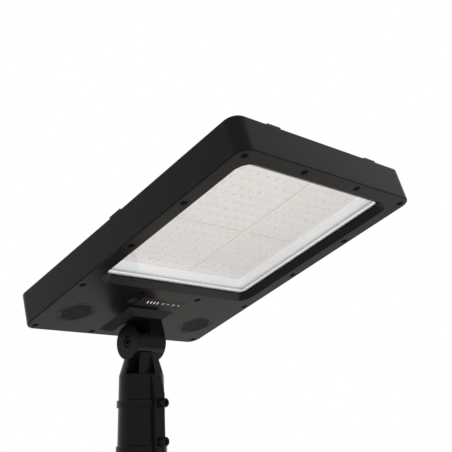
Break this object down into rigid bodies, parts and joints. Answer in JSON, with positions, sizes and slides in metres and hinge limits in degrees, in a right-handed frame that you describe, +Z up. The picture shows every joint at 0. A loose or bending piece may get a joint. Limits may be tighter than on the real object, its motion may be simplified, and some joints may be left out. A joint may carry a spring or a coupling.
{
  "type": "solar street light",
  "caption": "Flat solar street light head with a window of small LEDs below and a solar module above, tilting on a toothed knuckle over a slip fitter for a pole end.",
  "frame": {"origin": "centre of the slip fitter's socket at its mouth, on the pole's axis", "axes": "+Z up along the pole, -Y towards the free end of the head, +X across the head, to the side of the knuckle's leg that carries the head"},
  "size_m": [0.4, 0.5673, 0.456],
  "materials": {
    "black_coat": "fine satin black powder coat on cast aluminium",
    "plated_steel": "plated steel",
    "screw_steel": "stainless steel",
    "seal_rubber": "matte silicone",
    "clear_window": "clear toughened glass",
    "white_reflector": "gloss white sheet",
    "led_board": "white solder mask with small LEDs",
    "bare_aluminium": "mill finish",
    "module_glass": "low iron cover glass",
    "silicon_cells": "dark blue cells",
    "module_backsheet": "white film",
    "battery_sleeve": "shrink sleeve",
    "black_plastic": "moulded black",
    "circuit_board": "green solder mask",
    "indicator_film": "dark printed film",
    "button_metal": "turned metal",
    "grille_plate": "perforated black plate",
    "vent_cloth": "vent membrane"
  },
  "bodies": {
    "fitter": {"slip_fitter": "black_coat", "tenon_set_bolts": "plated_steel", "set_bolt_nuts": "plated_steel", "pivot_bolt": "plated_steel", "pivot_washer": "plated_steel", "pivot_nut": "plated_steel"},
    "head": {"head_bracket": "black_coat", "housing": "black_coat", "bottom_cover": "black_coat", "panel_clips": "black_coat", "bracket_backing_plate": "plated_steel", "bracket_screws": "plated_steel", "cover_screws": "screw_steel", "clip_screws": "screw_steel", "tray_screws": "screw_steel", "spreader_screws": "screw_steel", "strap_screws": "screw_steel", "controller_screws": "screw_steel", "button_spring": "screw_steel", "cover_gasket": "seal_rubber", "lens_gasket": "seal_rubber", "panel_seal": "seal_rubber", "window_lens": "clear_window", "reflector_tray": "white_reflector", "led_board_front_left": "led_board", "led_board_front_right": "led_board", "led_board_rear_left": "led_board", "led_board_rear_right": "led_board", "heat_spreader": "bare_aluminium", "battery_strap_left": "bare_aluminium", "battery_strap_right": "bare_aluminium", "solar_glass": "module_glass", "solar_cells": "silicon_cells", "panel_backsheet": "module_backsheet", "battery_cells": "battery_sleeve", "battery_cradle_left": "black_plastic", "battery_cradle_right": "black_plastic", "switch_block": "black_plastic", "button_nut": "black_plastic", "charge_controller": "circuit_board", "indicator_board": "circuit_board", "indicator_overlay": "indicator_film", "button_bezel": "button_metal", "grille_left": "grille_plate", "grille_right": "grille_plate", "vent_membranes": "vent_cloth"},
    "button": {"power_button": "button_metal", "button_clip": "screw_steel"}
  },
  "joints": [
    {"name": "head_tilt", "type": "hinge", "parent": "fitter", "child": "head", "pos_m": [0, 0, 0.197], "axis": [-1, 0, 0], "range_deg": [-18, 72]},
    {"name": "button_press", "type": "slide", "parent": "head", "child": "button", "axis": [0, 0.309, 0.9511], "range_m": [0, 0.0012], "stiffness_N_per_m": 800, "springref_m": -0.0015, "deforming": ["button_spring"]}
  ]
}
